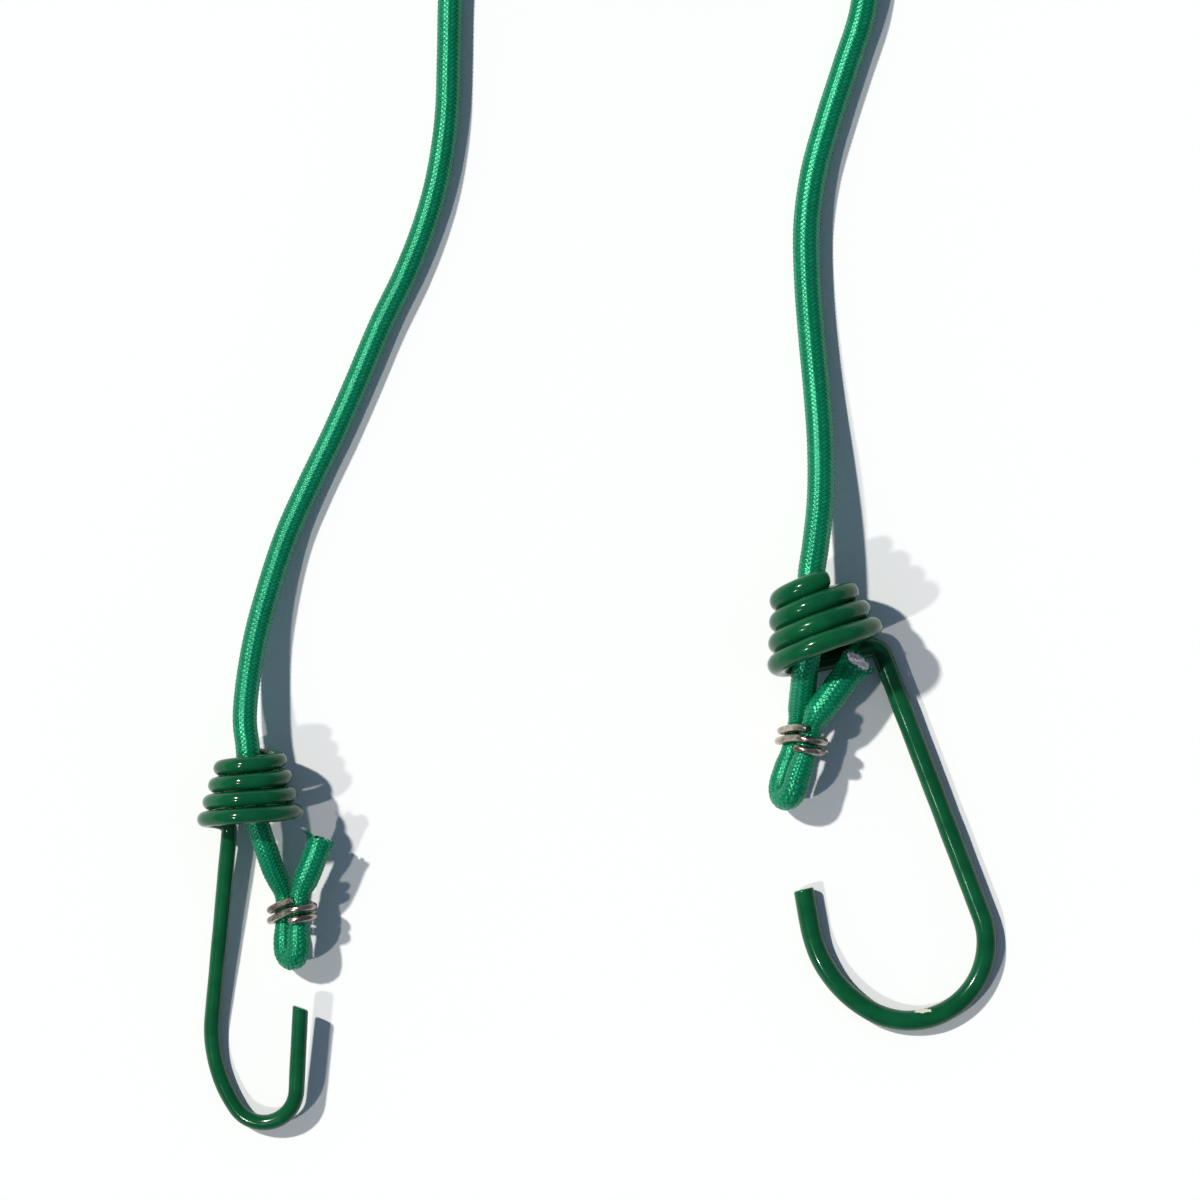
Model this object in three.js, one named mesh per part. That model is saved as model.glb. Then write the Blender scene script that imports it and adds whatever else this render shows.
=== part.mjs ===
// Elastic clothesline lying on a flat surface: a braided rubber cord with a coated wire hook at each end.
// Each hook is wound round the cord as a cone, and the cord's end is folded back and pinched by a wire clip.
// The middle of the line is wound into a round coil and tied.
// Millimetres and degrees, +Z up, the surface at z = 0.
import * as THREE from 'three';

// Clearances
const seatGap = 0.3; // between pieces that touch
const coreGap = 0.15; // between a core and the skin round it

// Cord
const leftCordDiameter = 6.2;
const rightCordDiameter = 6.9;
const storedCordDiameter = 6.6;
const sheathThickness = 0.8;
const clipSqueeze = 0.8; // the clip pinches it to this share of its diameter
const squeezeEase = 2.4; // the pinch fades out over this length
const cutFlare = 0.35; // the sheath opens at the cut end
const cutFlareReach = 2.4;
const coreRecess = 0.8; // the core ends this far inside the cut sheath

// Hooks
const coatThickness = 0.5;
const tipRounding = 0.5;
const coilEndAngle = 1260; // where the shank leaves, on the side away from the tip

const leftHook = {
  x: -86.24, // wide end of the coil, on its axis
  y: 7.1,
  lean: 0, // turned in the plane of the surface
  pitch: -0.3, // narrow end of the coil up
  roll: -47, // turned about the coil's axis
  wireDiameter: 4.0,
  boreSlack: 1.4, // between the cord and the narrowest turn
  coilFlare: 5.3, // growth of the coil's radius from end to end
  coilPitch: 4.25,
  coilStart: -135, // where the wire's first end lies, from the side of the tip
  easeAngle: 40, // the wire turns from the coil into the shank over this angle
  shankStart: 2.6, // below the coil
  shankOffset: 8.33, // from the coil's axis
  shankDrop: 0, // towards the surface from the coil's axis
  bendTwist: 33, // the shank and bend lie in a plane of their own, turned about the coil's axis
  bendDip: 3.81, // and down towards the surface
  shankSplay: 6.39,
  shankLength: 46.53,
  heelRadius: 34.0,
  heelAngle: 40.2,
  noseRadius: 8.66,
  noseAngle: 142.3,
  tipLength: 20.85,
};

const rightHook = {
  x: 58.06,
  y: 47.4,
  lean: 16,
  pitch: -5,
  roll: 180,
  wireDiameter: 5.1,
  boreSlack: 1.6,
  coilFlare: 6.3,
  coilPitch: 5.05,
  coilStart: -125,
  easeAngle: 86,
  shankStart: 1.8,
  shankOffset: 12.97,
  shankDrop: 13.75,
  bendTwist: 0,
  bendDip: -5,
  shankSplay: 4.86,
  shankLength: 68.95,
  heelRadius: 19.48,
  heelAngle: 139.5,
  noseRadius: 30.18,
  noseAngle: 51.2,
  tipLength: 9.45,
};

// Clips
const clipWireDiameter = 1.9;
const clipPitch = 2.6;
const clipTurns = 2.05;
const clipStartAngle = 70;
const clipCornerSharpness = 3;

// Folded ends: from inside the coil, through the clip, round the fold and back to the cut end
// The leg is drawn thinner than the cord, the slack tail is thicker
const leftEndRoute = [
  [-86.57, 15.95, 11.92],
  [-86.36, 12.9, 12.1],
  [-85.74, 9.3, 12],
  [-84.34, 5.3, 11.5],
  [-82.64, 0.3, 10.4],
  [-80.94, -4.7, 8],
  [-79.04, -8.8, 5.8],
  [-78.04, -12.1, 4.8],
  [-78.04, -14.7, 4.7],
  [-78.04, -18.5, 4.6],
  [-78.04, -22.4, 4.6],
  [-78.04, -24, 4.6],
  [-77.81, -25.59, 4.95],
  [-77.17, -26.75, 5.93],
  [-76.29, -27.18, 7.25],
  [-75.42, -26.75, 8.58],
  [-74.77, -25.59, 9.55],
  [-74.54, -24, 9.9],
  [-74.54, -22.4, 9.9],
  [-74.54, -18.5, 9.9],
  [-74.49, -14.7, 9.9],
  [-74.34, -11.7, 9.95],
  [-73.34, -8.8, 10.2],
  [-71.64, -4.7, 10.6],
  [-69.74, 0.3, 10.9],
  [-68.84, 2.9, 11],
];
const leftFold = { lean: 0, tilt: 10, legPoint: 8, tailPoint: 20, legGirth: 0.95, foldGirth: 0.95, tailGirth: 1.04 };

const rightEndRoute = [
  [53.1, 55.9, 15.18],
  [53.01, 53.1, 15.3],
  [52.56, 49.7, 15.3],
  [51.76, 44.9, 14.1],
  [51.16, 39.3, 10],
  [50.76, 34.9, 6.5],
  [50.16, 31.2, 5.2],
  [49.46, 28.3, 5],
  [48.66, 25.1, 4.9],
  [47.86, 22.3, 4.8],
  [46.57, 18.5, 4.8],
  [46.06, 16.85, 4.8],
  [45.81, 15.05, 5.22],
  [46.11, 13.64, 6.35],
  [46.85, 12.98, 7.9],
  [47.81, 13.24, 9.45],
  [48.75, 14.36, 10.59],
  [49.41, 16.03, 11],
  [49.86, 17.7, 11],
  [51.16, 21.6, 11],
  [52.01, 24.5, 11],
  [52.76, 27.4, 11],
  [53.36, 30.3, 11.1],
  [54.66, 33.5, 11.9],
  [57.46, 37.3, 12.6],
  [61.06, 42.1, 12.3],
  [65.06, 47.3, 11.7],
];
const rightFold = { lean: -14, tilt: -8, legPoint: 7, tailPoint: 21, legGirth: 0.97, foldGirth: 0.93, tailGirth: 1.09 };

// Stored coil
const storedCoilX = 15.86;
const storedCoilY = 271.1;
const storedCoilDiameter = 73; // across the middle of its turns
const storedTurns = 7.5; // half of them on each of two layers
const storedClimbTurns = 0.5; // where the spiral reverses
const storedTurnGap = 0.55;
const tieThickness = 0.8;
const tieWidth = 8;
const tieCornerRadius = 3;

// Sizes that follow from the ones above
const storedPitch = storedCordDiameter + storedTurnGap;
const storedOuterRadius = storedCoilDiameter / 2 + (storedPitch * storedTurns) / 4;
const storedFirstLayer = tieThickness + seatGap + storedCordDiameter / 2;
const storedSecondLayer = storedFirstLayer + storedPitch;
const storedLeadY = storedCoilY - storedCordDiameter;

// Free stretches, from the stored coil to the inside of each hook's coil
const leftLineRoute = [
  [storedCoilX - storedOuterRadius, storedLeadY - seatGap, storedFirstLayer],
  [storedCoilX - storedOuterRadius, storedLeadY - seatGap - storedCordDiameter, storedFirstLayer],
  [-35.74, 233.1, 3.5],
  [-36.84, 212.3, 3.2],
  [-37.14, 197.3, 3.2],
  [-37.74, 182.3, 3.2],
  [-40.04, 167.3, 3.2],
  [-43.24, 155.9, 3.2],
  [-47.94, 143.9, 3.2],
  [-54.04, 131.3, 3.2],
  [-60.14, 116.9, 3.2],
  [-66.14, 103.3, 3.2],
  [-72.14, 90.9, 3.3],
  [-77.74, 78.3, 3.8],
  [-82.34, 64.3, 5.4],
  [-85.34, 52.9, 7.2],
  [-87.34, 40.9, 9.6],
  [-87.94, 32.1, 11.1],
  [-87.24, 25.9, 11.6],
  [-86.84, 20.3, 11.7],
  [-86.6, 16.35, 11.9],
];
const rightLineRoute = [
  [storedCoilX + storedOuterRadius, storedLeadY - seatGap, storedSecondLayer],
  [storedCoilX + storedOuterRadius, storedLeadY - seatGap - storedCordDiameter, storedSecondLayer],
  [66.66, 242.3, 8.4],
  [67.36, 224.9, 5.4],
  [66.36, 209.9, 3.8],
  [62.06, 195.9, 3.5],
  [57.86, 182.9, 3.5],
  [54.06, 169.3, 3.5],
  [52.26, 155.9, 3.5],
  [52.46, 141.9, 3.5],
  [53.46, 128.3, 3.7],
  [54.76, 114.3, 4.4],
  [55.66, 100.9, 6.2],
  [55.56, 87.3, 9.2],
  [54.36, 76.1, 12.4],
  [53.26, 68.5, 14.4],
  [53.16, 61.7, 15.2],
  [53.11, 56.3, 15.2],
];

// Fineness of the meshes
const cordSides = 8;
const wireSides = 8;
const clipSides = 6;
const storedSides = 6;
const storedStepsPerTurn = 24;
const hookSteps = 78;
const legSteps = 11;
const foldSteps = 22;
const tailSteps = 8;
const lineSteps = 30;
const clipSteps = 34;
const samplesPerTurn = 30; // points that a winding's centreline is drawn through

// Materials
const finishes = {
  coat: { color: 0x0f5e35, roughness: 0.22, metalness: 0 },
  steel: { color: 0x9a9a96, roughness: 0.35, metalness: 1 },
  clip: { color: 0x8d8a82, roughness: 0.38, metalness: 1 },
  sheath: { color: 0x1f8a5f, roughness: 0.45, metalness: 0 },
  rubber: { color: 0xd8c9c4, roughness: 0.8, metalness: 0 },
  tie: { color: 0x2a2d2c, roughness: 0.6, metalness: 0 },
};

const { degToRad, clamp, smoothstep } = THREE.MathUtils;

// A smooth path through a list of points
function pathThrough(points) {
  const path = new THREE.CatmullRomCurve3(points, false, 'centripetal');
  path.arcLengthDivisions = points.length * 16;
  return path;
}

function routePoints(route) {
  return route.map(([x, y, z]) => new THREE.Vector3(x, y, z));
}

function evenStations(first, last, steps) {
  return Array.from({ length: steps + 1 }, (_, step) => first + ((last - first) * step) / steps);
}

// Frames along a path that don't twist, one for each station
function framesAlong(path, stations) {
  const length = path.getLength();
  const frames = new Map();
  const tangentBefore = path.getTangentAt(0);
  const normal = new THREE.Vector3(0, 0, 1).cross(tangentBefore);
  if (normal.length() < 0.1) normal.set(1, 0, 0);
  normal.normalize();
  for (const station of stations) {
    const along = clamp(station / length, 0, 1);
    const tangent = path.getTangentAt(along);
    normal.applyQuaternion(new THREE.Quaternion().setFromUnitVectors(tangentBefore, tangent));
    tangentBefore.copy(tangent);
    frames.set(station, {
      centre: path.getPointAt(along),
      normal: normal.clone(),
      binormal: tangent.clone().cross(normal),
    });
  }
  return frames;
}

// A turned body bent along a path: the outline is a list of station and radius pairs
function bentLathe(path, outline, sides) {
  const profile = outline.map(([station, radius]) => new THREE.Vector2(radius, station));
  const geometry = new THREE.LatheGeometry(profile, sides);
  const stations = [...new Set(outline.map(([station]) => station))].sort((a, b) => a - b);
  const frames = framesAlong(path, stations);
  const position = geometry.getAttribute('position');
  const vertex = new THREE.Vector3();
  for (let i = 0; i < position.count; i += 1) {
    const frame = frames.get(outline[i % outline.length][0]);
    vertex.copy(frame.centre);
    vertex.addScaledVector(frame.normal, position.getX(i));
    vertex.addScaledVector(frame.binormal, -position.getZ(i));
    position.setXYZ(i, vertex.x, vertex.y, vertex.z);
  }
  geometry.deleteAttribute('normal');
  geometry.deleteAttribute('uv');
  return geometry;
}

function solidTube(path, stations, sides, radiusAt) {
  const first = stations[0];
  const last = stations[stations.length - 1];
  const wall = stations.map((station) => [station, radiusAt(station)]);
  return bentLathe(path, [[first, 0], ...wall, [last, 0]], sides);
}

function hollowTube(path, stations, sides, radiusAt, boreAt) {
  const wall = stations.map((station) => [station, radiusAt(station)]);
  const bore = stations.map((station) => [station, boreAt(station)]).reverse();
  return bentLathe(path, [...wall, ...bore, wall[0]], sides);
}

function part(name, geometry, finish) {
  const mesh = new THREE.Mesh(geometry, new THREE.MeshStandardMaterial(finishes[finish]));
  mesh.name = name;
  return mesh;
}

// Least gap between the turns of a winding, measured on points of its centreline
function leastGap(path, diameter) {
  const length = path.getLength();
  const count = Math.round((2 * length) / diameter) * 2;
  const points = path.getSpacedPoints(count);
  const apart = Math.ceil((2.5 * diameter * count) / length);
  let least = Infinity;
  for (let i = 0; i < points.length; i += 1) {
    for (let j = i + apart; j < points.length; j += 1) {
      least = Math.min(least, points[i].distanceTo(points[j]));
    }
  }
  return least - diameter;
}

// Hook centreline in its own frame: the coil's axis is Y, narrow end up, and the bend has a plane of its own
function hookPath(hook, cordDiameter) {
  const narrowRadius = cordDiameter / 2 + hook.boreSlack + hook.wireDiameter / 2;
  const sweep = coilEndAngle - hook.coilStart;
  const coilPoint = (angle) => {
    const radius = narrowRadius + (hook.coilFlare * (angle - hook.coilStart)) / sweep;
    const turn = degToRad(angle);
    const height = (hook.coilPitch * (coilEndAngle - angle)) / 360;
    return new THREE.Vector3(radius * Math.cos(turn), height, radius * Math.sin(turn));
  };
  const points = [];
  const lastAngle = coilEndAngle - hook.easeAngle;
  const coilSteps = Math.round(((lastAngle - hook.coilStart) / 360) * samplesPerTurn);
  for (let step = 0; step <= coilSteps; step += 1) {
    points.push(coilPoint(hook.coilStart + ((lastAngle - hook.coilStart) * step) / coilSteps));
  }

  // Easing from the coil into the shank
  const plane = new THREE.Euler(degToRad(hook.bendDip), degToRad(hook.bendTwist), 0, 'YXZ');
  let heading = degToRad(-hook.shankSplay);
  const direction = () => new THREE.Vector3(Math.sin(heading), -Math.cos(heading), 0).applyEuler(plane);
  const leave = points[points.length - 1];
  const leaveDirection = coilPoint(lastAngle + 1).sub(coilPoint(lastAngle - 1)).normalize();
  const shankTop = new THREE.Vector3(-hook.shankOffset, -hook.shankStart, hook.shankDrop);
  const handle = 0.42 * leave.distanceTo(shankTop);
  const ease = new THREE.CubicBezierCurve3(
    leave,
    leave.clone().addScaledVector(leaveDirection, handle),
    shankTop.clone().addScaledVector(direction(), -handle),
    shankTop,
  );
  points.push(...ease.getPoints(8).slice(1));

  // Shank, heel, nose and tip
  const cursor = shankTop.clone();
  const run = (length, steps) => {
    for (let step = 0; step < steps; step += 1) {
      cursor.addScaledVector(direction(), length / steps);
      points.push(cursor.clone());
    }
  };
  const bend = (radius, degrees) => {
    const steps = Math.ceil(degrees / 9);
    const turn = degToRad(degrees) / steps;
    for (let step = 0; step < steps; step += 1) {
      heading += turn / 2;
      cursor.addScaledVector(direction(), 2 * radius * Math.sin(turn / 2));
      heading += turn / 2;
      points.push(cursor.clone());
    }
  };
  run(hook.shankLength, 6);
  bend(hook.heelRadius, hook.heelAngle);
  bend(hook.noseRadius, hook.noseAngle);
  run(hook.tipLength, 3);
  return pathThrough(points);
}

// Coated hook: the coat is closed over the tip and open at the coil's end, where the steel ends flush
function hookParts(side, hook, cordDiameter) {
  const path = hookPath(hook, cordDiameter);
  const length = path.getLength();
  const radius = hook.wireDiameter / 2;
  const bore = radius - coatThickness;
  const steelRadius = bore - coreGap;
  const steelLength = length - coatThickness - coreGap;
  const coreStations = evenStations(0, steelLength, hookSteps);
  const boreEnd = length - coatThickness;
  const wall = coreStations.slice(0, -1).map((station) => [station, radius]);
  const boreWall = coreStations.slice(0, -1).map((station) => [station, bore]);
  const outline = [
    [boreEnd, 0],
    [boreEnd, bore],
    ...boreWall.reverse(),
    ...wall,
    [length - tipRounding, radius],
    [length, radius - tipRounding],
    [length, 0],
  ];
  const group = new THREE.Group();
  group.add(part(`${side}_hook_coat`, bentLathe(path, outline, wireSides), 'coat'));
  group.add(part(`${side}_hook_wire`, solidTube(path, coreStations, wireSides, () => steelRadius), 'steel'));
  group.rotation.set(degToRad(hook.pitch), degToRad(hook.roll), degToRad(hook.lean), 'ZXY');
  group.updateMatrix();
  const heights = path.getSpacedPoints(400).map((point) => point.applyMatrix4(group.matrix).z);
  group.position.set(hook.x, hook.y, radius - Math.min(...heights));
  console.log(`${side} hook: coil axis ${group.position.z.toFixed(2)} mm up, wire ${length.toFixed(1)} mm long`);
  console.log(`${side} hook: least gap between turns ${leastGap(path, hook.wireDiameter).toFixed(2)} mm`);
  return group;
}

// Station on a path that is nearest to a point
function stationNear(path, point) {
  const count = 600;
  const points = path.getSpacedPoints(count);
  const distances = points.map((candidate) => candidate.distanceTo(point));
  return (path.getLength() * distances.indexOf(Math.min(...distances))) / count;
}

// Folded cord end: sheath and core, thinner round the fold and pinched twice by the clip
function foldedEnd(side, route, fold, cordDiameter) {
  const points = routePoints(route);
  const path = pathThrough(points);
  const length = path.getLength();
  const legStation = stationNear(path, points[fold.legPoint]);
  const tailStation = stationNear(path, points[fold.tailPoint]);
  const held = (clipPitch * clipTurns + clipWireDiameter) / 2;
  const pinch = (station, at) => 1 - smoothstep(Math.abs(station - at), held, held + squeezeEase);
  const girth = (station) => {
    const inFold = station < tailStation ? fold.foldGirth : fold.tailGirth;
    const folded = station < legStation ? 1 - (1 - fold.legGirth) * smoothstep(station, 0, legStation / 4) : inFold;
    const pinched = Math.max(pinch(station, legStation), pinch(station, tailStation));
    return folded + (clipSqueeze - folded) * pinched;
  };
  const radius = cordDiameter / 2;
  const bore = radius - sheathThickness;
  const flare = (station) => cutFlare * smoothstep(station, length - cutFlareReach, length);
  const stations = [
    ...evenStations(0, legStation, legSteps),
    ...evenStations(legStation, tailStation, foldSteps).slice(1),
    ...evenStations(tailStation, length, tailSteps).slice(1),
  ];
  const coreStations = [...stations.slice(0, -1), length - coreRecess];
  const sheath = hollowTube(
    path,
    stations,
    cordSides,
    (station) => radius * girth(station) + flare(station),
    (station) => bore * girth(station) + flare(station),
  );
  const core = solidTube(path, coreStations, cordSides, (station) => (bore - coreGap) * girth(station));
  return [part(`${side}_end_sheath`, sheath, 'sheath'), part(`${side}_end_core`, core, 'rubber')];
}

// Wire clip wound round the two limbs of the fold
function clipPart(side, route, fold, cordDiameter) {
  const leg = new THREE.Vector3(...route[fold.legPoint]);
  const tail = new THREE.Vector3(...route[fold.tailPoint]);
  const centre = leg.clone().add(tail).multiplyScalar(0.5);
  const lean = degToRad(fold.lean);
  const tilt = degToRad(fold.tilt);
  const along = new THREE.Vector3(Math.sin(lean), -Math.cos(lean), 0);
  const across = new THREE.Vector3(Math.cos(lean), Math.sin(lean), 0);
  const up = new THREE.Vector3(0, 0, 1);
  const between = tail.clone().sub(leg);
  const halfAcross = between.dot(across) / 2;
  const halfUp = between.dot(up) / 2;
  const limbAngle = Math.atan2(halfUp, halfAcross);
  const limbHalf = Math.hypot(halfAcross, halfUp);
  const wrapRadius = (cordDiameter / 2) * clipSqueeze + seatGap + clipWireDiameter / 2;
  const points = [];
  const count = Math.round(clipTurns * samplesPerTurn);
  for (let step = 0; step <= count; step += 1) {
    const turns = (clipTurns * step) / count;
    const angle = degToRad(clipStartAngle + 360 * turns);
    const reach = limbHalf * Math.tanh(clipCornerSharpness * Math.cos(angle - limbAngle));
    const acrossAt = reach * Math.cos(limbAngle) + wrapRadius * Math.cos(angle);
    const upAt = reach * Math.sin(limbAngle) + wrapRadius * Math.sin(angle);
    const alongAt = clipPitch * (turns - clipTurns / 2) - acrossAt * Math.tan(tilt);
    points.push(
      centre.clone().addScaledVector(across, acrossAt).addScaledVector(up, upAt).addScaledVector(along, alongAt),
    );
  }
  const path = pathThrough(points);
  const stations = evenStations(0, path.getLength(), clipSteps);
  console.log(`${side} clip: least gap between turns ${leastGap(path, clipWireDiameter).toFixed(2)} mm`);
  return part(`${side}_clip`, solidTube(path, stations, clipSides, () => clipWireDiameter / 2), 'clip');
}

// Free stretch of the line: sheath and core
function lineParts(side, route, cordDiameter) {
  const path = pathThrough(routePoints(route));
  const stations = evenStations(0, path.getLength(), lineSteps);
  const radius = cordDiameter / 2;
  const bore = radius - sheathThickness;
  const sheath = hollowTube(path, stations, cordSides, () => radius, () => bore);
  const core = solidTube(path, stations, cordSides, () => bore - coreGap);
  console.log(`${side} line: ${path.getLength().toFixed(1)} mm long`);
  return [part(`${side}_line_sheath`, sheath, 'sheath'), part(`${side}_line_core`, core, 'rubber')];
}

// Stored coil: spirals in on the first layer, climbs where it reverses and spirals out on the second
function storedCoil() {
  const count = Math.round(storedTurns * storedStepsPerTurn);
  const climbStart = (storedTurns - storedClimbTurns) / 2;
  const points = [];
  const coilPoint = (turns) => {
    const woundIn = Math.min(turns, storedTurns - turns);
    const radius = storedOuterRadius - storedPitch * woundIn;
    const angle = Math.PI - 2 * Math.PI * turns;
    const climb = smoothstep(turns, climbStart, climbStart + storedClimbTurns);
    const height = storedFirstLayer + (storedSecondLayer - storedFirstLayer) * climb;
    const x = storedCoilX + radius * Math.cos(angle);
    const y = storedCoilY + radius * Math.sin(angle);
    return new THREE.Vector3(x, y, height);
  };
  points.push(new THREE.Vector3(storedCoilX - storedOuterRadius, storedLeadY, storedFirstLayer));
  for (let step = 0; step <= count; step += 1) {
    points.push(coilPoint((storedTurns * step) / count));
  }
  points.push(new THREE.Vector3(storedCoilX + storedOuterRadius, storedLeadY, storedSecondLayer));
  const path = pathThrough(points);
  const stations = evenStations(0, path.getLength(), count + 4);
  console.log(`stored coil: ${path.getLength().toFixed(1)} mm long`);
  console.log(`stored coil: least gap between turns ${leastGap(path, storedCordDiameter).toFixed(2)} mm`);
  return part('stored_coil', solidTube(path, stations, storedSides, () => storedCordDiameter / 2), 'sheath');
}

function roundedRectangle(path, left, bottom, right, top, radius) {
  path.moveTo(left + radius, bottom);
  path.lineTo(right - radius, bottom);
  path.absarc(right - radius, bottom + radius, radius, -Math.PI / 2, 0);
  path.absarc(right - radius, top - radius, radius, 0, Math.PI / 2);
  path.absarc(left + radius, top - radius, radius, Math.PI / 2, Math.PI);
  path.absarc(left + radius, bottom + radius, radius, Math.PI, 1.5 * Math.PI);
  return path;
}

// Tie: a flat band round all the turns at the far side of the stored coil
function coilTie() {
  const cordRadius = storedCordDiameter / 2;
  const quarterTurn = 0.25;
  const farTurn = storedOuterRadius - storedPitch * quarterTurn;
  const nearTurn = farTurn - storedPitch * Math.floor(storedTurns / 2 - quarterTurn);
  const drift = (storedPitch * tieWidth) / (4 * Math.PI * nearTurn);
  const sag = tieWidth ** 2 / (8 * nearTurn);
  const left = nearTurn - cordRadius - seatGap - drift - sag;
  const right = farTurn + cordRadius + seatGap + drift;
  const bottom = tieThickness;
  const top = storedSecondLayer + cordRadius + seatGap;
  const outside = roundedRectangle(
    new THREE.Shape(),
    left - tieThickness,
    bottom - tieThickness,
    right + tieThickness,
    top + tieThickness,
    tieCornerRadius + tieThickness,
  );
  outside.holes.push(roundedRectangle(new THREE.Path(), left, bottom, right, top, tieCornerRadius));
  const geometry = new THREE.ExtrudeGeometry(outside, { depth: tieWidth, bevelEnabled: false, curveSegments: 4 });
  const band = part('coil_tie', geometry, 'tie');
  const radial = new THREE.Vector3(0, 1, 0);
  const upward = new THREE.Vector3(0, 0, 1);
  const sideways = new THREE.Vector3(1, 0, 0);
  band.quaternion.setFromRotationMatrix(new THREE.Matrix4().makeBasis(radial, upward, sideways));
  band.position.set(storedCoilX - tieWidth / 2, storedCoilY, 0);
  return band;
}

const clothesline = new THREE.Group();
clothesline.add(hookParts('left', leftHook, leftCordDiameter));
clothesline.add(hookParts('right', rightHook, rightCordDiameter));
clothesline.add(...foldedEnd('left', leftEndRoute, leftFold, leftCordDiameter));
clothesline.add(...foldedEnd('right', rightEndRoute, rightFold, rightCordDiameter));
clothesline.add(clipPart('left', leftEndRoute, leftFold, leftCordDiameter));
clothesline.add(clipPart('right', rightEndRoute, rightFold, rightCordDiameter));
clothesline.add(...lineParts('left', leftLineRoute, leftCordDiameter));
clothesline.add(...lineParts('right', rightLineRoute, rightCordDiameter));
clothesline.add(storedCoil());
clothesline.add(coilTie());

export default clothesline;
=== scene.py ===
# Elastic clothesline: a braided rubber cord with a coated wire hook wound round each folded, clipped end.
# Metres throughout, seen from straight above as it lies on a pale surface.
import math
import bpy
import numpy as np
from mathutils import Matrix, Vector


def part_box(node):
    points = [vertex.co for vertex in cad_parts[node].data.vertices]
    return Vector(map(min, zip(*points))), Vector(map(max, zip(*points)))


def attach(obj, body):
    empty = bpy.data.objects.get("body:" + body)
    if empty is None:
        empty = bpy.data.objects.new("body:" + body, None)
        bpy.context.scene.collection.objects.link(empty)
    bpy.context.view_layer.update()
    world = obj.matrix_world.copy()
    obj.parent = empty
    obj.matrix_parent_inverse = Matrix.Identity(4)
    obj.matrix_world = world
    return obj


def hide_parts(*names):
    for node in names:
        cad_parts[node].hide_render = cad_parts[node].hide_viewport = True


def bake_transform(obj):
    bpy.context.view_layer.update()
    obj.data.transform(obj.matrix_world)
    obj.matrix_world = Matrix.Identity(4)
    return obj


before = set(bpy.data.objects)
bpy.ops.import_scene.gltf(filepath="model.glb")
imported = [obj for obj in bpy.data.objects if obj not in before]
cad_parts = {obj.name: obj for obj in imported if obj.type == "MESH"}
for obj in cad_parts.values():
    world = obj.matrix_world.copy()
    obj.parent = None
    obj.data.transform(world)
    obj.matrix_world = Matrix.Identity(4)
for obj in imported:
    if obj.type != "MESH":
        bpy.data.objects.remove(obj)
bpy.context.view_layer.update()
millimetre = 0.001
print("frame loaded,", len(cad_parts), "nodes")


# Camera: straight down from high up, so that the picture is nearly flat
cameraView = {
    "aim": (0.61 * millimetre, 62.35 * millimetre),
    "height": 4.0,
    "picture": 0.300,          # what the picture is wide on the surface
    "sensor": 36.0,
}


def makeCamera():
    data = bpy.data.cameras.new("camera")
    data.sensor_width = cameraView["sensor"]
    data.lens = cameraView["sensor"] * cameraView["height"] / cameraView["picture"]
    data.clip_end = 100
    camera = bpy.data.objects.new("camera", data)
    camera.location = (*cameraView["aim"], cameraView["height"])
    bpy.context.scene.collection.objects.link(camera)
    bpy.context.scene.camera = camera


makeCamera()
bpy.context.scene.view_settings.view_transform = "Standard"
print("camera placed")


# Lines and skins
def evenSteps(line, spacing):
    gone = np.concatenate([[0], np.cumsum(np.linalg.norm(np.diff(line, axis=0), axis=1))])
    steps = max(2, round(gone[-1] / spacing))
    want = np.linspace(0, gone[-1], steps + 1)
    even = np.stack([np.interp(want, gone, line[:, k]) for k in range(3)], 1)
    return even, want


def smoothRoute(points, spacing):     # one smooth line through chosen points, in even steps
    p = np.array(points, float)
    p = np.vstack([2 * p[0] - p[1], p, 2 * p[-1] - p[-2]])
    w = np.linspace(0, 1, 24, endpoint=False)[:, None]
    fine = []
    for a, b, c, d in zip(p, p[1:], p[2:], p[3:]):
        ab, bc, cd = (math.sqrt(np.linalg.norm(q)) for q in (b - a, c - b, d - c))
        leave = ((b - a) / ab - (c - a) / (ab + bc) + (c - b) / bc) * bc
        arrive = ((c - b) / bc - (d - b) / (bc + cd) + (d - c) / cd) * bc
        square = 3 * (c - b) - 2 * leave - arrive
        cube = 2 * (b - c) + leave + arrive
        fine.append(b + leave * w + square * w**2 + cube * w**3)
    fine.append(p[-2][None])
    return evenSteps(np.vstack(fine), spacing)


def unit(v):
    return v / np.linalg.norm(v, axis=-1, keepdims=True)


def framesOn(line):                   # two directions across a line that don't twist along it
    ahead = unit(np.gradient(line, axis=0))
    first = np.cross((0, 0, 1), ahead[0])
    if np.linalg.norm(first) < 0.1:
        first = np.array((1.0, 0, 0))
    side = [unit(first)]
    for direction in ahead[1:]:
        side.append(unit(side[-1] - direction * np.dot(side[-1], direction)))
    side = np.array(side)
    return ahead, side, np.cross(ahead, side)


def easeStep(x, low, high):
    t = np.clip((x - low) / (high - low), 0, 1)
    return t * t * (3 - 2 * t)


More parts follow.
